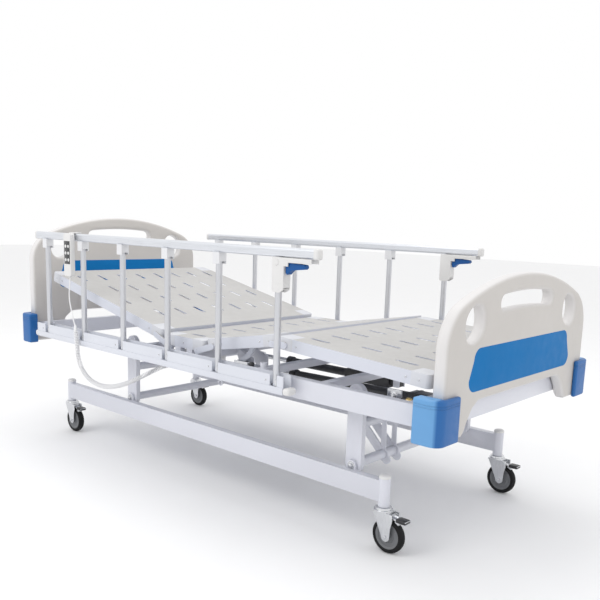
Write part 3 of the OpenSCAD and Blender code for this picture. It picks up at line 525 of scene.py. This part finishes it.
# moulded boards; drops are measured down from the top of a board
board = {"width": 0.924, "shoulder": 0.135, "archRadius": 1.002, "edge": 0.013, "thickness": 0.042,
         "slotHalf": 0.170, "slotTop": 0.053, "slotDepth": 0.046, "gripAcross": 0.318, "gripDrop": 0.133,
         "gripHalf": (0.051, 0.052), "archway": {-1: 0.126, 1: 0.092}}


def arcOf(cy, cz, r, a0, a1, n):
    turns = [math.radians(a0 + (a1 - a0) * i / n) for i in range(n + 1)]
    return [(cy + r * math.cos(a), cz + r * math.sin(a)) for a in turns]


# outline seen along the bed, top at height 0
def boardOutline(height, archway):
    half, shoulder, big = board["width"] / 2, board["shoulder"], board["archRadius"]
    lean = math.asin((half - shoulder) / (big - shoulder))  # the shoulder meets the arch smoothly here
    centre = (big - shoulder) * math.cos(lean) - big
    lean = math.degrees(lean)
    points = arcOf(-half + shoulder, centre, shoulder, 180, 90 + lean, 18)
    points += arcOf(0, -big, big, 90 + lean, 90 - lean, 36)[1:-1]
    points += arcOf(half - shoulder, centre, shoulder, 90 - lean, 0, 18)
    foot = [(half, -height + 0.014), (half - 0.014, -height), (half - 0.108, -height), (half - 0.122, -height + 0.014)]
    rises = ((0.136, 0.43), (0.160, 0.78), (0.190, 0.98), (0.215, 1.0))
    foot += [(half - inward, -height + archway * up) for inward, up in rises]
    return points + foot + [(-y, z) for y, z in reversed(foot)]


# hand slot that follows the arch of the board
def slotOutline():
    w, top, deep = board["slotHalf"], board["slotTop"], board["slotDepth"]
    upper = [(w * t, -top - 0.010 * t * t) for t in [i / 10 for i in range(-9, 10)]]
    lower = [(w * t, -top - deep - 0.007 * t * t) for t in [i / 10 for i in range(9, -10, -1)]]
    right = arcOf(w * 0.9, -top - 0.0315, 0.022, 65, -65, 8)
    return upper + right + lower + [(-y, z) for y, z in reversed(right)]


# egg-shaped grip hole, its outer side follows the shoulder
def gripOutline(side):
    wide, tall = board["gripHalf"]
    points = []
    for k in range(36):
        a = math.tau * k / 36
        y, z = wide * math.cos(a), tall * math.sin(a)
        y += 0.010 * (1 if z < 0 else -1) * (z / tall) ** 2
        points.append((side * (board["gripAcross"] + y), z - board["gripDrop"]))
    return points if side > 0 else points[::-1]


# flat outlines, the first one solid and the rest holes, thickened with round edges and stood across the bed
def moulded(name, outlines, thickness, edge, low, top):
    data = bpy.data.curves.new(name, "CURVE")
    data.dimensions, data.fill_mode = "2D", "BOTH"
    data.extrude, data.bevel_depth, data.offset, data.bevel_resolution = thickness / 2 - edge, edge, -edge, 5
    for outline in outlines:
        spline = data.splines.new("POLY")
        spline.points.add(len(outline) - 1)
        for point, (y, z) in zip(spline.points, outline):
            point.co = (y, z, 0, 1)
        spline.use_cyclic_u = True
    obj = bpy.data.objects.new(name, data)
    bpy.context.scene.collection.objects.link(obj)
    work(obj)
    bpy.ops.object.convert(target="MESH")
    obj = bpy.context.object
    obj.data.transform(Matrix(((0, 0, 1, low + thickness / 2), (1, 0, 0, 0), (0, 1, 0, top), (0, 0, 0, 1))))
    bpy.ops.object.mode_set(mode="EDIT")
    bpy.ops.mesh.select_all(action="SELECT")
    bpy.ops.mesh.remove_doubles(threshold=0.00002)
    bpy.ops.mesh.normals_make_consistent(inside=False)
    done()
    return obj


def makeBoard(name, sign):
    low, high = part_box(name)
    top = high.z
    outlines = [boardOutline(top - low.z, board["archway"][sign]), slotOutline(), gripOutline(1), gripOutline(-1)]
    obj = moulded(name + "Moulding", outlines, board["thickness"], board["edge"], low.x, top)
    hand(obj, name + "Moulding", "frame", warmPlastic, [name], 60)


makeBoard("headboard", -1)
makeBoard("footboard", 1)


# inset panels, wider at their lower edge by the spread
panel = {"half": 0.329, "halfHeight": 0.062, "corner": 0.034, "spread": 0.011, "thickness": 0.003,
         "drop": 0.262, "headTop": 0.967, "footTop": 0.852}


def makePanels():
    low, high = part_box("board_panels")
    half, tall, corner, spread = panel["half"], panel["halfHeight"], panel["corner"], panel["spread"]
    outline = [(sy * (half - corner - sz * spread) + dy, sz * (tall - corner) + dz)
               for sy, sz, a in ((1, 1, 0), (-1, 1, 90), (-1, -1, 180), (1, -1, 270))
               for dy, dz in arcOf(0, 0, corner, a, a + 90, 8)]
    places = ((panel["headTop"], low.x + 0.0005), (panel["footTop"], high.x - 0.0026))
    pieces = [moulded("panel", [outline], panel["thickness"], 0.0012, x, top - panel["drop"]) for top, x in places]
    hand(joined(pieces), "boardPanels", "frame", panelBlue, ["board_panels"])


makePanels()
rounded("corner_bumpers", "frame", bumperBlue, 0.006, 4)
print("boards made")

# finish of each of the record's material slots
finish = {"white_paint": paintWhite, "section_paint": sectionFacingShade, "warm_plastic": warmPlastic, "blue_panel": panelBlue,
          "blue_bumper": bumperBlue, "rail_aluminium": postMetal, "white_plastic": moulding, "lever_blue": leverBlue,
          "black_plastic": blackPlastic, "bright_steel": brightSteel, "castor_chrome": zincChrome,
          "castor_tyre": tyreRubber, "cord_white": cordWhite}
for part in frame["record"]["subparts"]:
    paintNode(part["node"], finish[part["material_slot"]])
for side in ("near", "far"):
    paintNode(side + "_handrail", railMetal)
paintNode("rail_channels", channelPaint)
for name, body, edge in (("base_frame", "base", 0.003), ("head_legs", "head_legs", 0.003),
                         ("foot_legs", "foot_legs", 0.002), ("main_frame", "frame", 0.0025)):
    rounded(name, body, paintWhite, edge)
rounded("rail_channels", "frame", channelPaint, 0.0012, 2)
for side in ("near", "far"):
    rounded(side + "_latch_housing", side + "_rail", moulding, 0.0015, 3)
    rounded(side + "_release_lever", side + "_lever", leverBlue, 0.004, 4)
for name in ("back_actuator", "knee_actuator"):
    rounded(name, "frame", blackPlastic, 0.004)
rounded("lift_actuator", "lift_actuator", blackPlastic, 0.004)
rounded("control_box", "frame", moulding, 0.005, 4)
print("frame and actuators made")


# castors: each wheel is a rubber tyre on a moulded hub
castor = {"radius": 0.055, "width": 0.028, "shoeAlong": (0.030, 0.066), "shoeHalf": 0.015, "shoeHeight": (0.1075, 0.1195)}
# rings of the hub's face, from the axle outwards, as radius and place along the axle
hubFace = [(0.0055, -0.0155), (0.0125, -0.0155), (0.0130, -0.0150), (0.0130, -0.0085), (0.0200, -0.0078),
           (0.0208, -0.0092), (0.0225, -0.0092), (0.0235, -0.0075), (0.0325, -0.0068), (0.0335, -0.0085),
           (0.0365, -0.0092), (0.0385, -0.0105)]


def makeCastors():
    r, w = castor["radius"], castor["width"] / 2
    tread = [(r - 0.014, w - 0.004), (r - 0.009, w - 0.001), (r - 0.004, w - 0.002), (r - 0.0012, w * 0.62), (r, w * 0.3)]
    tyre = [(a, -b) for a, b in tread] + tread[::-1]
    face = hubFace + [(r - 0.0135, -w + 0.0035)]
    hub = face + [(a, -b) for a, b in reversed(face)] + [face[0]]
    near, far = castor["shoeAlong"]
    bottom, top = castor["shoeHeight"]
    for i in range(1, 5):
        low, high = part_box(f"castor_wheel_{i}")
        centre = (low + high) / 2
        rubber = turned(tyre + [tyre[0]], centre, "Y", 56)
        disc = turned(hub, centre, "Y", 48)
        hand(rubber, f"castorTyre{i}", f"wheel_{i}", tyreRubber, [f"castor_wheel_{i}"])
        hand(disc, f"castorHub{i}", f"wheel_{i}", hubGrey)
        rounded(f"castor_fork_{i}", f"castor_{i}", zincChrome, 0.002)
        rounded(f"brake_pedal_{i}", f"pedal_{i}", zincChrome, 0.0015)
        shoe = block((centre.x + near, centre.y - castor["shoeHalf"], bottom),
                     (centre.x + far, centre.y + castor["shoeHalf"], top), 0.004)
        hand(shoe, f"pedalShoe{i}", f"pedal_{i}", blackPlastic)


makeCastors()
print("castors made")


# handset: a dark keypad plate with six domed buttons
keypad = {"along": (-0.671, -0.629), "height": (0.779, 0.871), "proud": 0.0006, "deep": 0.001,
          "dome": [(0.0001, -0.0016), (0.0035, -0.0014), (0.0055, -0.0008), (0.0065, 0.0004), (0.0065, 0.0030),
                   (0.0001, 0.0030)]}


def makeHandset():
    rounded("handset", "near_rail", moulding, 0.004, 4)
    low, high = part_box("button_1")
    front = low.y + 0.001
    (x0, x1), (z0, z1) = keypad["along"], keypad["height"]
    plate = block((x0, front - keypad["proud"], z0), (x1, front + keypad["deep"], z1), 0.0005, 2)
    hand(plate, "handsetKeypad", "near_rail", keypadBlack)
    for i in range(1, 7):
        low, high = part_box(f"button_{i}")
        middle = (low + high) / 2
        cap = turned(keypad["dome"], (middle.x, front - 0.0008, middle.z), "Y", 28)
        hand(cap, f"handsetButton{i}", f"button_{i}", moulding, [f"button_{i}"])


makeHandset()
print("handset made")


# small parts that are bolted or screwed on
def swivel(obj, matrix):
    obj.data.transform(matrix)
    return obj


# a turn about a line across the bed
def about(x, z, degrees):
    turn = Matrix.Rotation(math.radians(degrees), 4, "Y")
    return Matrix.Translation((x, 0, z)) @ turn @ Matrix.Translation((-x, 0, -z))


# a part drawn on the Y axis, moved to its place, out = -1 near side or 1 far side
def faceOut(obj, x, y, z, out):
    if out < 0:
        swivel(obj, Matrix.Rotation(math.pi, 4, "Z"))
    return swivel(obj, Matrix.Translation((x, y, z)))


# a block given for the far side, or its mirror on the near side
def sideBlock(side, along, across, height, edge=0.002, segments=3):
    ya, yb = sorted((side * across[0], side * across[1]))
    return block((along[0], ya, height[0]), (along[1], yb, height[1]), edge, segments)


# washer, hexagon head and a low dome
def boltHead(x, y, z, out, size):
    washer = turned([(0.0001, 0), (size * 1.5, 0), (size * 1.5, size * 0.18), (size * 1.35, size * 0.25),
                     (0.0001, size * 0.25)], (0, 0, 0), "Y", 28)
    nothingSelected()
    bpy.ops.mesh.primitive_cylinder_add(vertices=6, radius=size, depth=size * 0.7, location=(0, size * 0.58, 0),
                                        rotation=(math.radians(90), 0, 0))
    head = bpy.context.object
    settle(head)
    softenEdges(head, size * 0.12, 2)
    tip = turned([(0.0001, size * 1.15), (size * 0.35, size * 1.1), (size * 0.5, size * 0.95),
                  (size * 0.5, size * 0.85)], (0, 0, 0), "Y", 20)
    return faceOut(joined([washer, head, tip]), x, y, z, out)


def screwDot(x, y, z, out, r=0.0032):
    dot = turned([(0.0001, 0.0012), (r * 0.3, 0.0011), (r * 0.34, 0.0006), (r * 0.6, 0.0012), (r, 0.0006),
                  (r, -0.0005)], (0, 0, 0), "Y", 18)
    return faceOut(dot, x, y, z, out)


# platform sections, drawn flat and then tilted as the bed stands
section = {"half": 0.430, "top": 0.552, "bottom": 0.512, "cap": 0.062, "corner": 0.015, "proud": 0.0006,
           "backTilt": 12, "thighTilt": -10, "calfTilt": 13.5, "backPivot": (-0.105, 0.506),
           "thighPivot": (0.050, 0.512), "kneePivot": (0.430, 0.522), "screwInsets": (0.034, 0.078),
           "screwHeight": 0.531, "padInsets": (0.09, 0.13), "padAcross": (0.393, 0.417), "padHeight": (0.5085, 0.5125)}
backTurn = about(*section["backPivot"], section["backTilt"])
thighTurn = about(*section["thighPivot"], section["thighTilt"])
calfTurn = thighTurn @ about(*section["kneePivot"], section["calfTilt"])


def cornerCap(x, along, side):
    c, p, w = section["cap"], section["proud"], section["half"]
    endX, sideY = x - along * p, side * (w + p)
    obj = sideBlock(side, sorted((endX, x + along * c)), (w + p, w - c), (section["bottom"] - p, section["top"] + p), 0)

    def onCorner(v):
        return abs(v.x - endX) < 1e-4 and abs(v.y - sideY) < 1e-4

    pickEdges(obj, lambda a, b: onCorner(a) and onCorner(b))
    bpy.ops.mesh.bevel(offset=section["corner"], segments=7)
    done()
    softenEdges(obj, 0.0022, 3)
    return obj


def makeSectionTrim():
    sections = (("back", "back", -0.955, -0.165, backTurn), ("seat", "frame", -0.140, 0.085, Matrix.Identity(4)),
                ("thigh", "thigh", 0.105, 0.450, thighTurn), ("calf", "calf", 0.455, 1.025, calfTurn))
    for name, body, x0, x1, tilt in sections:
        caps = [cornerCap(x, along, side) for x, along in ((x0, 1), (x1, -1)) for side in (-1, 1)]
        hand(swivel(joined(caps), tilt), name + "CornerCaps", body, capPlastic)
        insets = section["screwInsets"]
        spots = [x0 + k for k in insets] + [x1 - k for k in reversed(insets)]
        if name == "seat":  # the neighbours' ears swing past its ends
            spots = [(x0 + x1) / 2]
        face = section["half"] + section["proud"]
        dots = [screwDot(x, side * face, section["screwHeight"], side) for x in spots for side in (-1, 1)]
        hand(swivel(joined(dots), tilt), name + "Screws", body, brightSteel)
        if name in ("back", "calf"):  # rubber strips between the sheet and the frame
            along = [x0 + k for k in section["padInsets"]]
            pads = [sideBlock(side, along, section["padAcross"], section["padHeight"], 0.0012, 2) for side in (-1, 1)]
            hand(swivel(joined(pads), tilt), name + "RestPads", body, tyreRubber)


makeSectionTrim()


# bolts through the leg pivots, and caps on the castor posts
baseTrim = {"legs": (-0.470, 0.705), "boltAcross": 0.3535, "pivotHeight": 0.232, "boltSize": 0.0085,
            "posts": (-0.905, 0.845), "postAcross": 0.365,
            "cap": [(0.0183, 0.2300), (0.0187, 0.2310), (0.0187, 0.2335), (0.0172, 0.2372), (0.0130, 0.2398),
                    (0.0070, 0.2408), (0.0001, 0.2410)]}


def makeBaseTrim():
    bolts = [boltHead(x, side * baseTrim["boltAcross"], baseTrim["pivotHeight"], side, baseTrim["boltSize"])
             for x in baseTrim["legs"] for side in (-1, 1)]
    caps = [turned(baseTrim["cap"], (x, side * baseTrim["postAcross"], 0), steps=36)
            for x in baseTrim["posts"] for side in (-1, 1)]
    hand(joined(bolts), "legBolts", "base", brightSteel)
    hand(joined(caps), "postCaps", "base", moulding)


makeBaseTrim()


# what is screwed to the side rails; places across are for the far side, those along count from each post
rail = {"y": 0.484, "firstPost": -0.870, "postPitch": 0.273, "channelEnds": ((0.538, 0.566), (-0.962, -0.946)),
        "railEnds": ((-0.9560, -0.9400), (0.6400, 0.6590)), "capHalf": 0.0142, "capHeight": (0.8696, 0.9022),
        "bossAt": (0.4965, 0.5000, 0.8560), "sleeveAlong": (0.4796, 0.5284), "sleeveHeights": (0.7905, 0.7755),
        "armAlong": (0.5450, 0.6400), "armHeight": (0.8565, 0.8706), "screwAt": (-0.030, 0.5005, 0.486),
        "screwRadius": 0.0036, "clip": ((0.0125, 0.0175), (0.4965, 0.5010), (0.473, 0.497)),
        "pitShade": ((-0.0176, 0.0176), (0.4825, 0.4885), (0.4715, 0.4745)),
        "lip": ((-0.0186, -0.0124), (0.4977, 0.5004), (0.4712, 0.5068)),
        "channelEndAcross": (0.4625, 0.5045), "channelEndHeight": (0.4485, 0.4722),
        "boss": [(0.0001, 0.0026), (0.0068, 0.0024), (0.0076, 0.0016), (0.0082, 0.0020), (0.0105, 0.0016),
                 (0.0112, 0.0004), (0.0112, -0.001)]}


def atPosts(posts, side, part, edge):
    (back, front), across, height = rail[part]
    return joined([sideBlock(side, (x + back, x + front), across, height, edge, 2) for x in posts])


def makeRailTrim():
    posts = [rail["firstPost"] + i * rail["postPitch"] for i in range(6)]
    y = rail["y"]
    for side, tag in ((-1, "near"), (1, "far")):
        x, across, z = rail["screwAt"]
        screws = [screwDot(post + x, side * across, z, side, rail["screwRadius"]) for post in posts]
        hand(joined(screws), tag + "ChannelScrews", "frame", brightSteel)
        hand(atPosts(posts, side, "clip", 0.0006), tag + "PostClips", "frame", zincChrome)
        # thin dark blocks in the post pits: painted shade
        hand(atPosts(posts, side, "pitShade", 0), tag + "PostPitShade", "frame", gapShade)
        hand(atPosts(posts, side, "lip", 0.0006), tag + "ChannelLips", "frame", channelPaint)
        ends = [sideBlock(side, along, rail["channelEndAcross"], rail["channelEndHeight"], 0.0095, 5)
                for along in rail["channelEnds"]]
        hand(joined(ends), tag + "ChannelEnds", "frame", moulding)
        caps = [sideBlock(side, along, (y - rail["capHalf"], y + rail["capHalf"]), rail["capHeight"], 0.0068, 5)
                for along in rail["railEnds"]]
        hand(joined(caps), tag + "RailEndCaps", tag + "_rail", moulding)
        x, across, z = rail["bossAt"]
        latch = [faceOut(turned(rail["boss"], (0, 0, 0), "Y", 32), x, side * across, z, side)]
        latch += [sideBlock(side, rail["sleeveAlong"], (y - 0.0165, y + 0.0165), (z, z + 0.0016), 0.0005, 2)
                  for z in rail["sleeveHeights"]]
        latch += [sideBlock(side, rail["armAlong"], (y + e * 0.0161, y + e * 0.0176), rail["armHeight"], 0.0006, 2)
                  for e in (-1, 1)]
        hand(joined(latch), tag + "LatchTrim", tag + "_rail", moulding)


makeRailTrim()


# clamp knobs of the pole sockets, and drainage hooks below the beams
fittings = {"knobAlong": 0.350, "knobAcross": 0.4515, "knobHeight": 0.510, "knobRadius": 0.0105,
            "collar": [(0.0052, 0.4925), (0.0062, 0.4935), (0.0062, 0.4995), (0.0048, 0.5010)],
            "stem": (0.4735, 0.502), "stemRadius": 0.0036, "seatHalf": 0.0065, "seatAcross": (0.4392, 0.4565),
            "seatHeight": (0.4665, 0.4752), "hooksAlong": (-0.738, 0.180), "hookAcross": 0.4335, "hookHeight": 0.419,
            "hookRadius": 0.0088, "hookWire": 0.0029, "tabHalf": (0.006, 0.0035), "tabHeight": (0.4275, 0.4318)}


def makeFittings():
    knobs, stems, hooks = [], [], []
    x, across = fittings["knobAlong"], fittings["hookAcross"]
    (bottom, top), seat, (tabX, tabY) = fittings["stem"], fittings["seatHalf"], fittings["tabHalf"]
    for side in (-1, 1):
        y = side * fittings["knobAcross"]
        knobs.append(ball((x, y, fittings["knobHeight"]), fittings["knobRadius"]))
        knobs.append(turned(fittings["collar"], (x, y, 0), steps=24))
        stems.append(rod((x, y, bottom), (x, y, top), fittings["stemRadius"], 0.0004, 24))
        stems.append(sideBlock(side, (x - seat, x + seat), fittings["seatAcross"], fittings["seatHeight"], 0.0014))
        for hookX in fittings["hooksAlong"]:
            nothingSelected()
            bpy.ops.mesh.primitive_torus_add(major_segments=32, minor_segments=10, major_radius=fittings["hookRadius"],
                                             minor_radius=fittings["hookWire"], rotation=(math.radians(90), 0, 0),
                                             location=(hookX, side * across, fittings["hookHeight"]))
            hooks.append(bpy.context.object)
            settle(hooks[-1])
            hooks.append(sideBlock(side, (hookX - tabX, hookX + tabX), (across - tabY, across + tabY),
                                   fittings["tabHeight"], 0.001))
    hand(joined(knobs), "releaseKnobs", "frame", blackPlastic, ["frame_fittings"])
    hand(joined(stems), "knobStems", "frame", brightSteel, ["frame_fittings"])
    hand(joined(hooks), "drainHooks", "frame", paintWhite, ["frame_fittings"])


makeFittings()


# bracket, pins and a spring nut beside the foot-end beam
mechanism = {"across": 0.372, "bracketAlong": (0.842, 0.892), "bracketHeight": (0.462, 0.508), "boltAt": (0.866, 0.487),
             "plateHalf": 0.003, "flangeHalf": 0.010, "flangeThick": 0.005, "boltSize": 0.0095, "pinAlong": (0.893, 0.958),
             "pinHeight": 0.482, "pinRadius": 0.0048, "nutAlong": 0.910, "coilStart": 0.934, "coils": 6,
             "coilPitch": 0.0038, "coilRadius": 0.0078, "coilWire": 0.0014,
             "nut": [(0.0035, 0), (0.0092, 0.0005), (0.0098, 0.004), (0.0098, 0.011), (0.0080, 0.014),
                     (0.0080, 0.020), (0.0035, 0.0205)]}


def makeFootMechanism():
    steel, gold, dark = [], [], []
    (x0, x1), (z0, z1) = mechanism["bracketAlong"], mechanism["bracketHeight"]
    (boltX, boltZ), (pinStart, pinEnd), pinZ = mechanism["boltAt"], mechanism["pinAlong"], mechanism["pinHeight"]
    half, wide = mechanism["plateHalf"], mechanism["flangeHalf"]
    for side in (-1, 1):
        y = side * mechanism["across"]
        steel.append(block((x0, y - half, z0), (x1, y + half, z1), 0.0014))
        flange = y + side * half
        steel.append(block((x0, flange - wide, z0), (x1, flange + wide, z0 + mechanism["flangeThick"]), 0.0012))
        for out in (-1, 1):
            steel.append(boltHead(boltX, y + out * half, boltZ, out, mechanism["boltSize"]))
        gold.append(turned(mechanism["nut"], (mechanism["nutAlong"], y, pinZ), "X", 28))
        dark.append(rod((pinStart, y, pinZ), (pinEnd, y, pinZ), mechanism["pinRadius"], 0.0006, 24))
        for k in range(mechanism["coils"]):
            nothingSelected()
            x = mechanism["coilStart"] + k * mechanism["coilPitch"]
            bpy.ops.mesh.primitive_torus_add(major_segments=24, minor_segments=8, major_radius=mechanism["coilRadius"],
                                             minor_radius=mechanism["coilWire"], rotation=(0, math.radians(90), 0),
                                             location=(x, y, pinZ))
            dark.append(bpy.context.object)
            settle(dark[-1])
    hand(joined(steel), "restBrackets", "frame", brightSteel)
    hand(joined(gold), "springNuts", "frame", brass)
    hand(joined(dark), "springs", "frame", blackPlastic)


makeFootMechanism()


# bolted ends of the arms below the leg section
armEnd = {"along": 0.730, "across": 0.290, "height": 0.484, "half": 0.0042, "boltSize": 0.0062}


def makeArmEnds():
    ends = [boltHead(armEnd["along"], side * armEnd["across"] + out * armEnd["half"], armEnd["height"], out,
                     armEnd["boltSize"]) for side in (-1, 1) for out in (-1, 1)]
    hand(swivel(joined(ends), calfTurn), "armBolts", "calf", brightSteel)


makeArmEnds()
print("small parts made")

# floor, even white surroundings and three soft lamps: name, place, size, watts
stage = {"floor": (0.90, 0.90, 0.905), "floorSize": 40, "surroundings": 1.0, "aim": (0, 0, 0.5),
         "lamps": (("keyLight", (-1.0, -3.6, 3.4), 2.2, 40), ("fillLight", (4.6, 0.8, 2.2), 2.4, 12),
                   ("topLight", (-0.3, 0.6, 4.0), 2.4, 26))}


def makeStage():
    nothingSelected()
    bpy.ops.mesh.primitive_plane_add(size=stage["floorSize"], location=(0, 0, 0))
    floor = bpy.context.object
    floor.name = "studioFloor"
    floor.data.materials.append(coated("floorPaper", stage["floor"], 0.8, 200, 0.00005, 0.005))
    world = bpy.data.worlds.new("studioWorld")
    bpy.context.scene.world = world
    world.use_nodes = True
    background = world.node_tree.nodes["Background"]
    background.inputs["Color"].default_value = (1.0, 1.0, 1.0, 1)
    background.inputs["Strength"].default_value = stage["surroundings"]
    for name, at, size, power in stage["lamps"]:
        data = bpy.data.lights.new(name, "AREA")
        data.energy, data.size = power, size
        lamp = bpy.data.objects.new(name, data)
        bpy.context.scene.collection.objects.link(lamp)
        facing = (Vector(stage["aim"]) - Vector(at)).to_track_quat("-Z", "Y")
        lamp.matrix_world = Matrix.Translation(at) @ facing.to_matrix().to_4x4()


makeStage()
bpy.context.scene.view_settings.view_transform = "Standard"
print("scene done")
